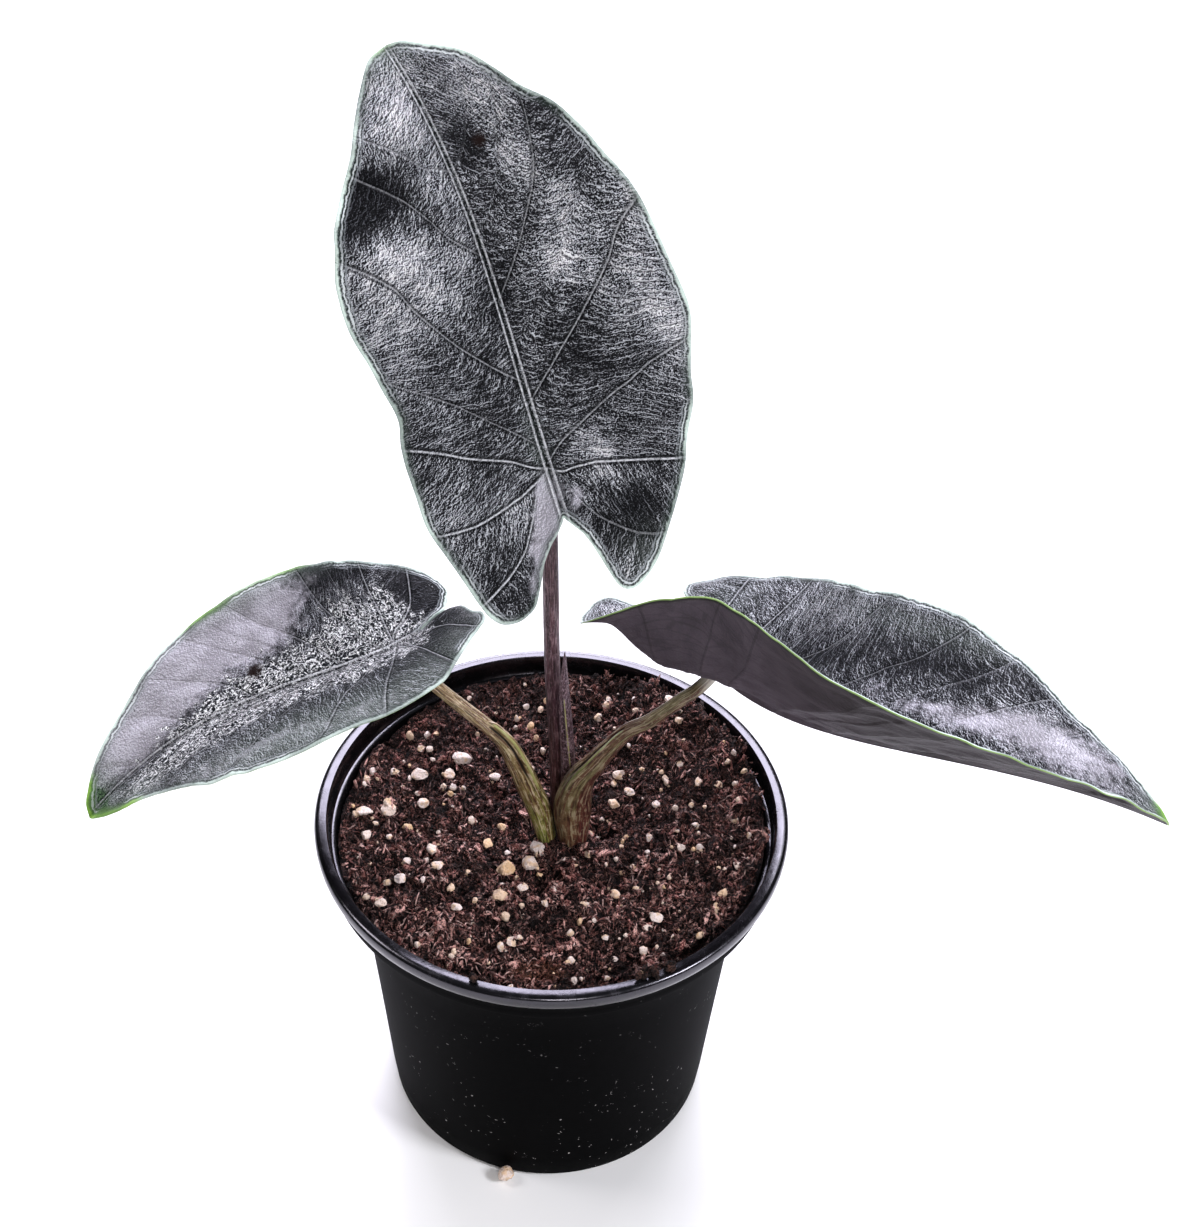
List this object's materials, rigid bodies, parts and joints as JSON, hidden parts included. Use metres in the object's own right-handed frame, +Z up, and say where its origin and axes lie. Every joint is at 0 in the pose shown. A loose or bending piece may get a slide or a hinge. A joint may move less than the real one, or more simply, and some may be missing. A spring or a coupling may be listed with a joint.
{
  "type": "potted antoro velvet alocasia",
  "caption": "Antoro velvet alocasia in a round black nursery pot: dark velvety shield-shaped leaves with pale green edges on bent stems, with a new shoot.",
  "frame": {"origin": "centre of the flat underside of the nursery pot", "axes": "+Z up, -Y towards the front of the picture, where the right leaf reaches to +X and the left leaf to -X"},
  "size_m": [0.2543, 0.1198, 0.2873],
  "materials": {
    "pot_plastic": "black moulded plastic, glossy rim, satin dusty wall",
    "potting_mix": "damp dark brown coir and peat crumbs with fibres, fully matt",
    "perlite": "porous off-white grains, matt",
    "petiole_left": "olive stem with red-brown stripes, soft satin",
    "petiole_centre": "dark plum-brown stem, finely striped, soft satin",
    "petiole_right": "olive-brown stem with a reddish lower edge, soft satin",
    "new_shoot": "purple sheath speckled pinkish white, satin",
    "leaf_blade": "near-black velvet with a silvery lilac sheen, finely quilted, with pale green edges"
  },
  "bodies": {
    "root": {"leaf_blade_centre": "leaf_blade", "leaf_blade_left": "leaf_blade", "leaf_blade_right": "leaf_blade", "mix_clump_1": "potting_mix", "mix_clump_2": "potting_mix", "mix_clump_3": "potting_mix", "new_shoot": "new_shoot", "nursery_pot": "pot_plastic", "perlite_grain_01": "perlite", "perlite_grain_02": "perlite", "perlite_grain_03": "perlite", "perlite_grain_04": "perlite", "perlite_grain_05": "perlite", "perlite_grain_06": "perlite", "perlite_grain_07": "perlite", "perlite_grain_08": "perlite", "perlite_grain_09": "perlite", "perlite_grain_10": "perlite", "perlite_grain_11": "perlite", "perlite_grain_12": "perlite", "perlite_grain_13": "perlite", "perlite_grain_14": "perlite", "perlite_grain_15": "perlite", "perlite_grain_16": "perlite", "perlite_grain_17": "perlite", "perlite_grain_18": "perlite", "perlite_grain_19": "perlite", "perlite_grain_20": "perlite", "perlite_grain_21": "perlite", "perlite_grain_22": "perlite", "perlite_grain_23": "perlite", "perlite_grain_24": "perlite", "perlite_grain_25": "perlite", "perlite_grain_26": "perlite", "perlite_grain_27": "perlite", "perlite_grain_28": "perlite", "perlite_grain_29": "perlite", "perlite_grain_30": "perlite", "perlite_grain_31": "perlite", "perlite_grain_32": "perlite", "perlite_grain_foot": "perlite", "petiole_centre": "petiole_centre", "petiole_left": "petiole_left", "petiole_right": "petiole_right", "potting_mix": "potting_mix"}
  },
  "joints": []
}
